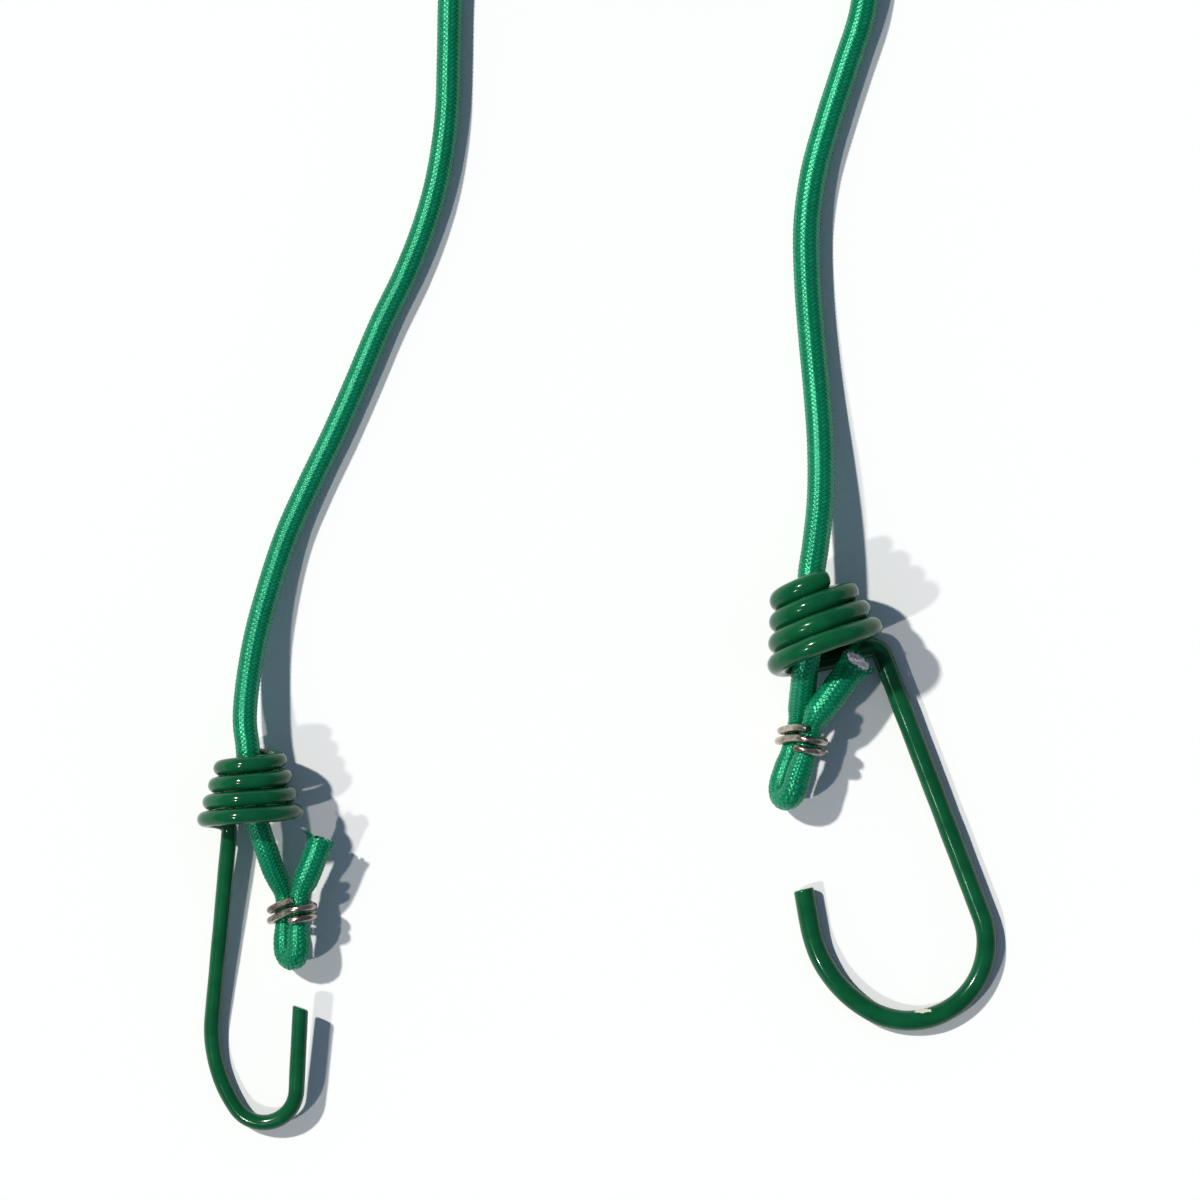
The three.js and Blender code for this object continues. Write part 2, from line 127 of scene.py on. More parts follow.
def meshObject(name, points, faces, maps=None, crease=35):
    counts = np.array([len(face) for face in faces])
    mesh = bpy.data.meshes.new(name)
    mesh.vertices.add(len(points))
    mesh.vertices.foreach_set("co", np.asarray(points, np.float32).ravel())
    loops = np.concatenate([np.asarray(face) for face in faces])
    starts = np.concatenate([[0], np.cumsum(counts)[:-1]])
    mesh.loops.add(len(loops))
    mesh.loops.foreach_set("vertex_index", loops.astype(np.int32))
    mesh.polygons.add(len(counts))
    mesh.polygons.foreach_set("loop_start", starts.astype(np.int32))
    mesh.update(calc_edges=True)
    if maps is not None:
        layer = mesh.uv_layers.new(name="braidMap")
        layer.data.foreach_set("uv", np.asarray(maps, np.float32).ravel())
    mesh.polygons.foreach_set("use_smooth", np.ones(len(counts), bool))
    mesh.set_sharp_from_angle(angle=math.radians(crease))
    piece = bpy.data.objects.new(name, mesh)
    bpy.context.scene.collection.objects.link(piece)
    return piece


def ringFaces(rings, sides, offset=0):            # quads between rings and a fan over each end
    i, j = np.meshgrid(np.arange(rings - 1), np.arange(sides), indexing="ij")
    k = (j + 1) % sides
    quads = np.stack([i * sides + j, i * sides + k, (i + 1) * sides + k, (i + 1) * sides + j], -1)
    quads = quads.reshape(-1, 4)
    first, last = rings * sides, rings * sides + 1
    side = np.arange(sides)
    after = (side + 1) % sides
    fans = [np.stack([np.full(sides, first), after, side], -1)]
    fans.append(np.stack([np.full(sides, last), (rings - 1) * sides + side, (rings - 1) * sides + after], -1))
    return quads + offset, np.vstack(fans) + offset


def ringSkin(name, centres, side, up, reach, along=None, crease=35):
    rings, sides = reach.shape
    angle = 2 * np.pi * np.arange(sides) / sides
    out = np.cos(angle)[None, :, None] * side[:, None, :] + np.sin(angle)[None, :, None] * up[:, None, :]
    points = centres[:, None, :] + reach[:, :, None] * out
    points = np.vstack([points.reshape(-1, 3), centres[:1], centres[-1:]])
    quads, fans = ringFaces(rings, sides)
    if along is None:
        along = np.zeros(rings)
    j = np.tile(np.arange(sides), rings - 1)
    i = np.repeat(np.arange(rings - 1), sides)
    turn = np.stack([j, j + 1, j + 1, j], -1) / sides
    far = np.stack([along[i], along[i], along[i + 1], along[i + 1]], -1)
    quadMaps = np.stack([turn, far], -1).reshape(-1, 2)
    s = np.arange(sides)
    endMaps = []
    for station in (along[0], along[-1]):
        fan = np.stack([s + 0.5, s, s + 1], -1) / sides
        endMaps.append(np.stack([fan, np.full_like(fan, station)], -1).reshape(-1, 2))
    faces = [*quads, *fans]
    return meshObject(name, points, faces, np.vstack([quadMaps, *endMaps]), crease)


# Nodes
def newMaterial(name):
    material = bpy.data.materials.new(name)
    material.use_nodes = True
    tree = material.node_tree
    return material, tree, tree.nodes["Principled BSDF"]


def feed(tree, socket, value):
    if isinstance(value, bpy.types.NodeSocket):
        tree.links.new(value, socket)
    else:
        socket.default_value = value


def calc(tree, operation, *values):
    node = tree.nodes.new("ShaderNodeMath")
    node.operation = operation
    for socket, value in zip(node.inputs, values):
        feed(tree, socket, value)
    return node.outputs[0]


def ramp(tree, value, low, high, toLow=0.0, toHigh=1.0):      # smooth step between two values
    node = tree.nodes.new("ShaderNodeMapRange")
    node.interpolation_type = "SMOOTHSTEP"
    for socket, number in zip(node.inputs, (value, low, high, toLow, toHigh)):
        feed(tree, socket, number)
    return node.outputs[0]


def mixNumbers(tree, factor, a, b):
    node = tree.nodes.new("ShaderNodeMix")
    node.data_type = "FLOAT"
    feed(tree, node.inputs[0], factor)
    feed(tree, node.inputs[2], a)
    feed(tree, node.inputs[3], b)
    return node.outputs[0]


def mixColours(tree, factor, a, b):
    node = tree.nodes.new("ShaderNodeMix")
    node.data_type = "RGBA"
    feed(tree, node.inputs[0], factor)
    feed(tree, node.inputs[6], (*a, 1) if isinstance(a, tuple) else a)
    feed(tree, node.inputs[7], (*b, 1) if isinstance(b, tuple) else b)
    return node.outputs[2]


def noise(tree, scale, detail=3.0, roughness=0.55, stretch=(1, 1, 1), shift=(0, 0, 0)):
    where = tree.nodes.new("ShaderNodeTexCoord")
    place = tree.nodes.new("ShaderNodeMapping")
    place.inputs["Scale"].default_value = stretch
    place.inputs["Location"].default_value = shift
    texture = tree.nodes.new("ShaderNodeTexNoise")
    texture.inputs["Scale"].default_value = scale
    texture.inputs["Detail"].default_value = detail
    texture.inputs["Roughness"].default_value = roughness
    tree.links.new(where.outputs["Object"], place.inputs["Vector"])
    tree.links.new(place.outputs["Vector"], texture.inputs["Vector"])
    return texture.outputs[0]


def bump(tree, shader, height, depth, strength=1.0):
    node = tree.nodes.new("ShaderNodeBump")
    node.inputs["Strength"].default_value = strength
    node.inputs["Distance"].default_value = depth
    tree.links.new(height, node.inputs["Height"])
    tree.links.new(node.outputs["Normal"], shader.inputs["Normal"])


# Braided cord
braid = {
    "strands": 14,             # each way round
    "lead": 15.4 * millimetre,  # a strand goes once round in this length
    "depth": 0.34 * millimetre,
    "overShare": 0.5,          # of the depth, how much a strand rises where it passes over another
    "flatTop": 2.8,            # 2 is a round strand, more is flatter
    "light": (0.006, 0.320, 0.150),
    "dark": (0.002, 0.190, 0.085),
    # painted shade: the grooves between strands and the ends of each float are coloured darker, standing in
    # for the shade the strands cast on each other
    "gap": (0.001, 0.050, 0.022),
    "gapAcross": (0.62, 1.0),  # where the painted groove shade begins and is darkest, in half widths of a strand
    "gapAlong": (0.72, 1.05),  # and along it, in strands passed over
    "gapDark": 0.7,
    "yarns": 5,                # fine lines along a strand
    "yarnHeight": 0.03 * millimetre,
    "yarnBump": 0.35,
    "patchScale": 90.0,
    "shades": (0.45, 0.6, 0.15),       # share of each strand's own shade, of the patches and of the yarns
    "shadeShift": 0.1,
    "roughness": 0.21,
    "roughnessSpan": 0.05,
    "metallic": 0.26,          # silky yarn tints its own highlights
    "shine": 0.35,
    "shineTint": (0.65, 1.0, 0.82),
}


def braidCrown(u, v):                 # 0 in the gaps of the braid, 1 on top of a strand
    s = braid["strands"] * (u - v)
    t = braid["strands"] * (u + v)

    def bow(x):
        fall = np.abs(2 * (x - np.floor(x)) - 1) ** braid["flatTop"]
        return np.clip(1 - fall, 0, 1) ** (1 / braid["flatTop"])

    overS = np.cos(np.pi / 2 * ((np.floor(s) + t) % 4 - 1))
    overT = np.cos(np.pi / 2 * ((s + np.floor(t)) % 4 - 3))
    share = braid["overShare"]
    crownS = (1 - share) * bow(s) + share * overS
    crownT = (1 - share) * bow(t) + share * overT
    return np.clip(np.maximum(crownS, crownT), 0, 1)


def braidMaterial(name):
    material, tree, shader = newMaterial(name)
    strands = braid["strands"]
    where = tree.nodes.new("ShaderNodeUVMap")
    where.uv_map = "braidMap"
    split = tree.nodes.new("ShaderNodeSeparateXYZ")
    tree.links.new(where.outputs[0], split.inputs[0])
    u, v = split.outputs[0], split.outputs[1]
    s = calc(tree, "MULTIPLY", calc(tree, "SUBTRACT", u, v), strands)
    t = calc(tree, "MULTIPLY", calc(tree, "ADD", u, v), strands)
    sCell, tCell = calc(tree, "FLOOR", s), calc(tree, "FLOOR", t)
    column = calc(tree, "FLOORED_MODULO", calc(tree, "ADD", sCell, tCell), 4.0)
    onTop = calc(tree, "LESS_THAN", column, 1.5)

    # how far from the middle of the strand on top, across it and along its float
    across = []
    for x, cell in ((t, tCell), (s, sCell)):
        across.append(calc(tree, "ABSOLUTE", calc(tree, "SUBTRACT", calc(tree, "SUBTRACT", x, cell), 0.5)))
    fromMiddle = calc(tree, "MULTIPLY", mixNumbers(tree, onTop, *across), 2.0)
    ends = []
    for cell, x, middle in ((tCell, s, 3.0), (sCell, t, 1.0)):
        along = calc(tree, "FLOORED_MODULO", calc(tree, "ADD", cell, x), 4.0)
        ends.append(calc(tree, "ABSOLUTE", calc(tree, "SUBTRACT", along, middle)))
    fromCrown = mixNumbers(tree, onTop, *ends)
    # painted shade: darker in the grooves between strands and where a float dives under its neighbour
    gapAcross = ramp(tree, fromMiddle, *braid["gapAcross"])
    gapAlong = ramp(tree, fromCrown, *braid["gapAlong"])
    gap = calc(tree, "MAXIMUM", gapAcross, gapAlong)

    # each strand has its own shade, and fine yarns run along it
    strandNumber = mixNumbers(
        tree,
        onTop,
        calc(tree, "ADD", calc(tree, "FLOORED_MODULO", tCell, float(strands)), 0.3),
        calc(tree, "ADD", calc(tree, "FLOORED_MODULO", sCell, float(strands)), 40.6),
    )
    ownShade = tree.nodes.new("ShaderNodeTexWhiteNoise")
    ownShade.noise_dimensions = "1D"
    tree.links.new(strandNumber, ownShade.inputs["W"])
    lines = calc(tree, "MULTIPLY", mixNumbers(tree, onTop, t, s), 2 * math.pi * braid["yarns"])
    yarn = calc(tree, "MULTIPLY_ADD", calc(tree, "SINE", lines), 0.5, 0.5)
    strandShare, patchShare, yarnShare = braid["shades"]
    patches = calc(tree, "MULTIPLY", noise(tree, braid["patchScale"]), patchShare)
    shade = calc(tree, "MULTIPLY_ADD", ownShade.outputs["Value"], strandShare, patches)
    shade = calc(tree, "MULTIPLY_ADD", yarn, yarnShare, calc(tree, "SUBTRACT", shade, braid["shadeShift"]))
    colour = mixColours(tree, shade, braid["dark"], braid["light"])
    colour = mixColours(tree, calc(tree, "MULTIPLY", gap, braid["gapDark"]), colour, braid["gap"])
    tree.links.new(colour, shader.inputs["Base Color"])
    dull = braid["roughness"] + braid["roughnessSpan"]
    tree.links.new(ramp(tree, yarn, 0.0, 1.0, dull, braid["roughness"]), shader.inputs["Roughness"])
    shader.inputs["Metallic"].default_value = braid["metallic"]
    shader.inputs["Specular IOR Level"].default_value = braid["shine"]
    shader.inputs["Specular Tint"].default_value = (*braid["shineTint"], 1)
    bump(tree, shader, yarn, braid["yarnHeight"], braid["yarnBump"])
    return material


def braidedSkin(name, line, gone, girth, samples):
    strands = braid["strands"] * samples
    _, side, up = framesOn(line)
    u = np.arange(strands)[None, :] / strands
    along = gone / braid["lead"]
    crown = braidCrown(u, along[:, None])
    reach = girth[:, None] - braid["depth"] * (1 - crown)
    return ringSkin(name, line, side, up, reach, along, crease=180)


def ringSpacing(samples):
    return braid["lead"] / (braid["strands"] * samples)


# Free stretches and folded ends, through listed points
storedCoil = {
    "x": 15.86 * millimetre,
    "y": 271.1 * millimetre,
    "diameter": 73 * millimetre,
    "turns": 7.5,
    "climb": 0.5,
    "turnGap": 0.55 * millimetre,
    "cord": 6.6 * millimetre,
    "underTie": 1.1 * millimetre,
    "joinLength": 25 * millimetre,    # a free stretch takes on its own thickness over this length
    "samples": 2,
}
storedPitch = storedCoil["cord"] + storedCoil["turnGap"]
storedOuter = storedCoil["diameter"] / 2 + storedPitch * storedCoil["turns"] / 4
storedLow = storedCoil["underTie"] + storedCoil["cord"] / 2
storedHigh = storedLow + storedPitch
storedLead = storedCoil["y"] - storedCoil["cord"]

leftCord = {
    "diameter": 6.2 * millimetre,
    "lineSamples": 5,
    "endSamples": 6,
    "line": [
        (storedCoil["x"] - storedOuter, storedLead, storedLow),
        (storedCoil["x"] - storedOuter, storedLead - storedCoil["cord"], storedLow),
        (-0.03574, 0.2331, 0.0035),
        (-0.03684, 0.2123, 0.0032),
        (-0.03714, 0.1973, 0.0032),
        (-0.03774, 0.1823, 0.0032),
        (-0.04004, 0.1673, 0.0032),
        (-0.04324, 0.1559, 0.0032),
        (-0.04794, 0.1439, 0.0032),
        (-0.05404, 0.1313, 0.0032),
        (-0.06014, 0.1169, 0.0032),
        (-0.06614, 0.1033, 0.0032),
        (-0.07214, 0.0909, 0.0033),
        (-0.07774, 0.0783, 0.0038),
        (-0.08234, 0.0643, 0.0054),
        (-0.08534, 0.0529, 0.0072),
        (-0.08734, 0.0409, 0.0096),
        (-0.08794, 0.0321, 0.0111),
        (-0.08724, 0.0259, 0.0116),
        (-0.08684, 0.0203, 0.0117),
        (-0.0866, 0.01635, 0.0119),
    ],
    "end": [
        (-0.08657, 0.01595, 0.01192),
        (-0.08636, 0.0129, 0.0121),
        (-0.08574, 0.0093, 0.012),
        (-0.08434, 0.0053, 0.0115),
        (-0.08264, 0.0003, 0.0104),
        (-0.08094, -0.0047, 0.008),
        (-0.07904, -0.0088, 0.0058),
        (-0.07804, -0.0121, 0.0048),
        (-0.07804, -0.0147, 0.0047),
        (-0.07804, -0.0185, 0.0046),
        (-0.07804, -0.0224, 0.0046),
        (-0.07804, -0.024, 0.0046),
        (-0.07781, -0.02559, 0.00495),
        (-0.07717, -0.02675, 0.00593),
        (-0.07629, -0.02718, 0.00725),
        (-0.07542, -0.02675, 0.00858),
        (-0.07477, -0.02559, 0.00955),
        (-0.07454, -0.024, 0.0099),
        (-0.07454, -0.0224, 0.0099),
        (-0.07454, -0.0185, 0.0099),
        (-0.07449, -0.0147, 0.0099),
        (-0.07434, -0.0117, 0.00995),
        (-0.07334, -0.0088, 0.0102),
        (-0.07164, -0.0047, 0.0106),
        (-0.06974, 0.0003, 0.0109),
        (-0.06884, 0.0029, 0.011),
    ],
    "legPoint": 8,
    "tailPoint": 20,
    "legGirth": 0.95,
    "foldGirth": 0.95,
    "tailGirth": 1.04,
    "cutSlant": 0,
    "cutFlatten": 0.08,
    "cutRagged": 0.6 * millimetre,
    "cutFlare": 0.35 * millimetre,
    "coreProud": -1.6 * millimetre,    # how far the core stands out of the sheath
    "frayFrom": -135,                  # which part of the rim is frayed, from the top round to the right
    "frayTo": -35,
    "frays": 16,
    "frayLength": 2.4 * millimetre,
    "seed": 5,
}

rightCord = {
    "diameter": 6.9 * millimetre,
    "lineSamples": 5,
    "endSamples": 6,
    "line": [
        (storedCoil["x"] + storedOuter, storedLead, storedHigh),
        (storedCoil["x"] + storedOuter, storedLead - storedCoil["cord"], storedHigh),
        (0.06666, 0.2423, 0.0084),
        (0.06736, 0.2249, 0.0054),
        (0.06636, 0.2099, 0.0038),
        (0.06206, 0.1959, 0.0035),
        (0.05786, 0.1829, 0.0035),
        (0.05406, 0.1693, 0.0035),
        (0.05226, 0.1559, 0.0035),
        (0.05246, 0.1419, 0.0035),
        (0.05346, 0.1283, 0.0037),
        (0.05476, 0.1143, 0.0044),
        (0.05566, 0.1009, 0.0062),
        (0.05556, 0.0873, 0.0092),
        (0.05436, 0.0761, 0.0124),
        (0.05326, 0.0685, 0.0144),
        (0.05316, 0.0617, 0.0152),
        (0.05311, 0.0563, 0.0152),
    ],
    "end": [
        (0.0531, 0.0559, 0.01518),
        (0.05301, 0.0531, 0.0153),
        (0.05256, 0.0497, 0.0153),
        (0.05176, 0.0449, 0.0141),
        (0.05116, 0.0393, 0.01),
        (0.05076, 0.0349, 0.0065),
        (0.05016, 0.0312, 0.0052),
        (0.04946, 0.0283, 0.005),
        (0.04866, 0.0251, 0.0049),
        (0.04786, 0.0223, 0.0048),
        (0.04657, 0.0185, 0.0048),
        (0.04606, 0.01685, 0.0048),
        (0.04581, 0.01505, 0.00522),
        (0.04611, 0.01364, 0.00635),
        (0.04685, 0.01298, 0.0079),
        (0.04781, 0.01324, 0.00945),
        (0.04875, 0.01436, 0.01059),
        (0.04941, 0.01603, 0.011),
        (0.04986, 0.0177, 0.011),
        (0.05116, 0.0216, 0.011),
        (0.05201, 0.0245, 0.011),
        (0.05276, 0.0274, 0.011),
        (0.05336, 0.0303, 0.0111),
        (0.05466, 0.0335, 0.0119),
        (0.05746, 0.0373, 0.0126),
        (0.06106, 0.0421, 0.0123),
        (0.06506, 0.0473, 0.0117),
    ],
    "legPoint": 7,
    "tailPoint": 21,
    "legGirth": 0.97,
    "foldGirth": 0.93,
    "tailGirth": 1.09,
    "cutSlant": 25,
    "cutFlatten": 0.6,                 # the cutters left it this much flatter
    "cutRagged": 0.35 * millimetre,
    "cutFlare": 0.35 * millimetre,
    "coreProud": 0.4 * millimetre,
    "frayFrom": 55,
    "frayTo": 150,
    "frays": 18,
    "frayLength": 1.5 * millimetre,
    "seed": 8,
}

sheath = {
    "thickness": 0.8 * millimetre,
    "squeeze": 0.8,                    # the clip pinches the cord to this share of its diameter
    "squeezeEase": 4.2 * millimetre,
    "flareReach": 2.4 * millimetre,
    "cutWiden": 0.12,                  # how much wider a flattened cut gets, for all that it gets lower
    "cutReach": 7 * millimetre,        # stretch before a cut that it flattens
    "cutNear": 12 * millimetre,
    "trimReach": 4 * millimetre,       # stretch whose strands end by themselves
    "trimNear": 9 * millimetre,
    "inside": 4.0 * millimetre,        # inner wall that shows at the cut
    "insideShare": 0.6,                # of the thickness, how far in that wall lies
    "leastRadius": 0.5 * millimetre,
    "boreShare": 0.75,                 # of the thickness, how far in the rubber begins
}

clip = {
    "wire": 1.9 * millimetre,
    "pitch": 2.6 * millimetre,
    "turns": 2.05,
    "kinkEase": 0.8 * millimetre,
    "cornerSharpness": 3,
    "seatGap": 0.3 * millimetre,
    "sides": 20,
    "points": 240,
    "spacing": 0.3 * millimetre,
    "rounding": 0.25 * millimetre,
}


def stationNear(line, gone, point):
    return gone[np.argmin(np.linalg.norm(line - np.array(point), axis=1))]


def endGirth(cord, line, gone):        # radius along an end: drawn thin, pinched twice, flared at the cut
    leg = stationNear(line, gone, cord["end"][cord["legPoint"]])
    tail = stationNear(line, gone, cord["end"][cord["tailPoint"]])
    held = (clip["pitch"] * clip["turns"] + clip["wire"]) / 2
    fromLeg = 1 - (1 - cord["legGirth"]) * easeStep(gone, 0, leg / 4)
    folded = np.where(gone < leg, fromLeg, np.where(gone < tail, cord["foldGirth"], cord["tailGirth"]))
    pinched = np.zeros_like(gone)
    for at in (leg, tail):
        pinched = np.maximum(pinched, 1 - easeStep(np.abs(gone - at), held, held + sheath["squeezeEase"]))
    girth = folded + (sheath["squeeze"] - folded) * pinched
    flare = cord["cutFlare"] * easeStep(gone, gone[-1] - sheath["flareReach"], gone[-1])
    return cord["diameter"] / 2 * girth + flare


def freeLine(name, cord):
    line, gone = smoothRoute(cord["line"], ringSpacing(cord["lineSamples"]))
    own = easeStep(gone, 0, storedCoil["joinLength"])
    girth = (storedCoil["cord"] * (1 - own) + cord["diameter"] * own) / 2
    piece = braidedSkin(name, line, gone, girth, cord["lineSamples"])
    return piece, line, gone


def foldedEnd(name, cord):
    line, gone = smoothRoute(cord["end"], ringSpacing(cord["endSamples"]))
    girth = endGirth(cord, line, gone)
    samples = cord["endSamples"]
    sides = braid["strands"] * samples
    ahead, side, up = framesOn(line)
    u = np.arange(sides)[None, :] / sides
    along = gone / braid["lead"]
    reach = girth[:, None] - braid["depth"] * (1 - braidCrown(u, along[:, None]))

    # the cut: slanted, each strand ending by itself, with the inner wall going back in
    inside = int(sheath["inside"] / (gone[1] - gone[0]))
    rows = np.arange(len(gone) - 1, len(gone) - 1 - inside, -1)
    wall = reach[rows].min(axis=1, keepdims=True) - sheath["thickness"] * sheath["insideShare"]
    wall = np.maximum(wall, sheath["leastRadius"])
    allRows = np.concatenate([np.arange(len(gone)), rows])
    centres, sideAll, upAll = line[allRows], side[allRows], up[allRows]
    reachAll = np.vstack([reach, np.repeat(wall, sides, axis=1)])
    piece = ringSkin(name, centres, sideAll, upAll, reachAll, along[allRows], crease=180)
    trimCut(piece, cord, line[-1], ahead[-1])
    return piece, line, gone


def endAxes(forward):                  # up and to the right, looking along a cut end
    right = unit(np.cross(forward, (0, 0, 1.0)))
    return np.cross(right, forward), right


def meshPoints(piece):
    points = np.empty(len(piece.data.vertices) * 3, np.float32)
    piece.data.vertices.foreach_get("co", points)
    return points.reshape(-1, 3).astype(float)


def shearEnd(piece, end, forward, back, nearby, shiftAt):     # moves the last stretch along its line
    points = meshPoints(piece)
    offset = points - end
    depth = offset @ forward
    weight = easeStep(depth, -back, 0) * (np.linalg.norm(offset, axis=1) < nearby)
    points += (weight * shiftAt(offset - depth[:, None] * forward))[:, None] * forward
    piece.data.vertices.foreach_set("co", points.astype(np.float32).ravel())
    piece.data.update()


def flattenEnd(points, cord, end, forward):     # lower and wider towards the cut
    upward, right = endAxes(forward)
    offset = points - end
    near = np.linalg.norm(offset, axis=1) < sheath["cutNear"]
    weight = cord["cutFlatten"] * easeStep(offset @ forward, -sheath["cutReach"], 0) * near
    lower = np.outer(-weight * (offset @ upward), upward)
    wider = np.outer(sheath["cutWiden"] * weight * (offset @ right), right)
    return points + lower + wider


def trimCut(piece, cord, end, forward):     # slanted, and each strand ends by itself
    upward, right = endAxes(forward)
    ends = 2 * braid["strands"]
    ragged = np.random.default_rng(cord["seed"]).uniform(-1, 0.6, ends) * cord["cutRagged"]

    def shiftAt(across):
        turns = np.arctan2(across @ right, across @ upward) / (2 * np.pi) + 0.5
        strand = np.floor(turns * ends).astype(int) % ends
        return ragged[strand] - math.tan(math.radians(cord["cutSlant"])) * (across @ upward)

    shearEnd(piece, end, forward, sheath["trimReach"], sheath["trimNear"], shiftAt)
    points = flattenEnd(meshPoints(piece), cord, end, forward)
    piece.data.vertices.foreach_set("co", points.astype(np.float32).ravel())
    piece.data.update()


fray = {
    "thick": 0.17 * millimetre,
    "taper": 0.75,
    "rootAt": 0.9,                     # of the cord's radius
    "rootDepth": 0.8 * millimetre,
    "lengths": (0.5, 1.1),
    "lean": (0.1, 0.6),
    "leanWander": 0.25,
    "curl": 0.55,
    "curlBack": 0.6,
    "curlWander": 0.5,
    "sides": 6,
    "steps": 9,
}


def frayedStrands(name, cord, end, forward, radius):     # loose yarns that curl out of the rim of a cut
    upward, right = endAxes(forward)
    rng = np.random.default_rng(cord["seed"] + 40)
    grown = np.linspace(0, 1, fray["steps"])[:, None]
    points, faces, offset = [], [], 0
    for angle in np.radians(rng.uniform(cord["frayFrom"], cord["frayTo"], cord["frays"])):
        out = math.cos(angle) * upward + math.sin(angle) * right
        drop = math.tan(math.radians(cord["cutSlant"])) * radius * math.cos(angle)
        start = end + radius * fray["rootAt"] * out - (drop + fray["rootDepth"]) * forward
        length = cord["frayLength"] * rng.uniform(*fray["lengths"])
        leave = unit(forward + rng.uniform(*fray["lean"]) * out + rng.normal(0, fray["leanWander"], 3))
        curl = unit(out + rng.normal(0, fray["curlWander"], 3))
        bent = fray["curl"] * grown**2 * (curl - fray["curlBack"] * forward)
        line = start + length * (grown * leave + bent)
        _, side, up = framesOn(line)
        reach = fray["thick"] * (1 - fray["taper"] * grown[:, 0])
        turn = 2 * np.pi * np.arange(fray["sides"]) / fray["sides"]
        ring = np.cos(turn)[None, :, None] * side[:, None] + np.sin(turn)[None, :, None] * up[:, None]
        ring = line[:, None] + reach[:, None, None] * ring
        points.append(np.vstack([ring.reshape(-1, 3), line[:1], line[-1:]]))
        quads, fans = ringFaces(len(line), fray["sides"], offset)
        faces += [*quads, *fans]
        offset += len(points[-1])
    onStrand = np.array((1.5, 0.5)) / (2 * braid["strands"])     # on the braid's map, the top of a strand
    loops = sum(len(face) for face in faces)
    points = flattenEnd(np.vstack(points), cord, end, forward)
    return meshObject(name, points, faces, np.tile(onStrand, (loops, 1)))


def storedLine():
    turns = np.linspace(0, storedCoil["turns"], 1200)
    woundIn = np.minimum(turns, storedCoil["turns"] - turns)
    radius = storedOuter - storedPitch * woundIn
    angle = np.pi - 2 * np.pi * turns
    climbStart = (storedCoil["turns"] - storedCoil["climb"]) / 2
    height = storedLow + storedPitch * easeStep(turns, climbStart, climbStart + storedCoil["climb"])
    x = storedCoil["x"] + radius * np.cos(angle)
    y = storedCoil["y"] + radius * np.sin(angle)
    coil = np.stack([x, y, height], 1)
    leadIn = np.array([[storedCoil["x"] - storedOuter, storedLead, storedLow]])
    leadOut = np.array([[storedCoil["x"] + storedOuter, storedLead, storedHigh]])
    return evenSteps(np.vstack([leadIn, coil, leadOut]), ringSpacing(storedCoil["samples"]))


cordBraid = braidMaterial("cordBraid")
for sideName, cord in (("left", leftCord), ("right", rightCord)):
    piece, line, gone = freeLine(sideName + "Line", cord)
    piece.data.materials.append(cordBraid)
    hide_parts(sideName + "_line_sheath", sideName + "_line_core")
    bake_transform(piece)
    cord["lineLength"] = float(gone[-1])
    cord["linePath"] = line[::-4]
    print(sideName, "line", round(gone[-1], 4), "m")

line, gone = storedLine()
girth = np.full(len(gone), storedCoil["cord"] / 2)
coilPiece = braidedSkin("storedCoil", line, gone, girth, storedCoil["samples"])
coilPiece.data.materials.append(cordBraid)
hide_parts("stored_coil")
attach(coilPiece, "cord")


# Folded ends with their rubber core
rubber = {
    "strand": 0.78 * millimetre,
    "length": 6 * millimetre,
    "sides": 10,
    "step": 0.98,                      # from strand to strand, in strands
    "standsOut": (-0.25, 0.2),         # how far one end stands out of the rest, in strands
    "thickness": (0.92, 1.03),
    "ringEvery": 3,
    "domeRings": 4,
    "dome": 0.4,                       # height of a strand's rounded end, in radii
    "colour": (0.98, 0.93, 0.97),
    "shade": (0.90, 0.83, 0.88),
    "spotScale": 900.0,
    "grainScale": 2500.0,
    "grainHeight": 0.06 * millimetre,
    "grainBump": 0.6,
    "roughness": (0.55, 0.75),
}


def rubberMaterial():
    material, tree, shader = newMaterial("rubberCore")
    spots = noise(tree, rubber["spotScale"], 4.0)
    colour = mixColours(tree, ramp(tree, spots, 0.3, 0.7), rubber["shade"], rubber["colour"])
    tree.links.new(colour, shader.inputs["Base Color"])
    smooth, dull = rubber["roughness"]
    tree.links.new(ramp(tree, spots, 0.3, 0.7, dull, smooth), shader.inputs["Roughness"])
    bump(tree, shader, noise(tree, rubber["grainScale"]), rubber["grainHeight"], rubber["grainBump"])
    return material


